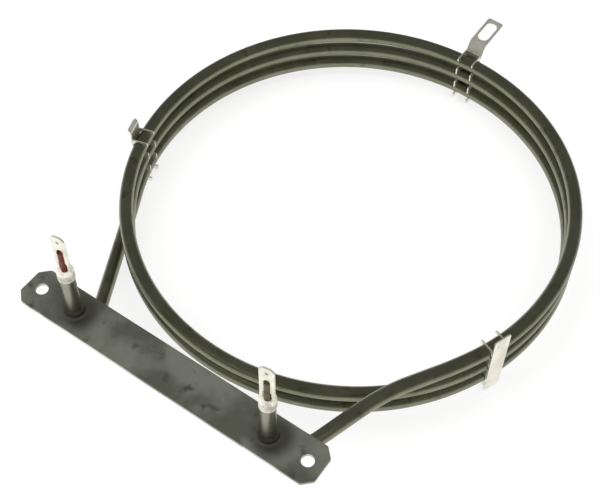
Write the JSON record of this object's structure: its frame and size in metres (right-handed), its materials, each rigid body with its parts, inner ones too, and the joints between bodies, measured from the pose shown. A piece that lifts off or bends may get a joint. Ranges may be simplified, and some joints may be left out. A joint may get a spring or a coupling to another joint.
{
  "type": "tubular heating element",
  "caption": "Ring-shaped tubular heating element with helical turns, spring clips, a fixing flange and upright blade terminals.",
  "frame": {"origin": "middle of the flange's mounting face, half way between its two fixing holes", "axes": "+X along the flange, +Y from the flange towards the ring's axis, +Z out of the mounting face along the terminal posts"},
  "size_m": [0.2144, 0.2694, 0.0964],
  "materials": {
    "sheath_steel": "heat-darkened drawn stainless tube, satin",
    "magnesia": "compacted powder, matt",
    "heating_alloy": "drawn resistance wire",
    "terminal_steel": "drawn pin, slightly browned",
    "seal_rubber": "cast silicone seal, matt",
    "ceramic": "unglazed fired ceramic, matt",
    "tab_metal": "nickel-plated stamping, bright satin",
    "flange_steel": "heat-tinted stainless sheet, satin with faint stains",
    "braze": "dull braze fillet",
    "clip_steel": "bright spring sheet"
  },
  "bodies": {
    "root": {"sheath_tube": "sheath_steel", "magnesia_filling": "magnesia", "resistance_winding": "heating_alloy", "cold_pin_left": "terminal_steel", "cold_pin_right": "terminal_steel", "end_seal_left": "seal_rubber", "end_seal_right": "seal_rubber", "ceramic_bush_left": "ceramic", "ceramic_bush_right": "ceramic", "terminal_tab_left": "tab_metal", "terminal_tab_right": "tab_metal", "fixing_flange": "flange_steel", "braze_ring_left": "braze", "braze_ring_right": "braze", "plain_clip": "clip_steel", "eyelet_clip": "clip_steel", "lipped_clip": "clip_steel"}
  },
  "joints": []
}
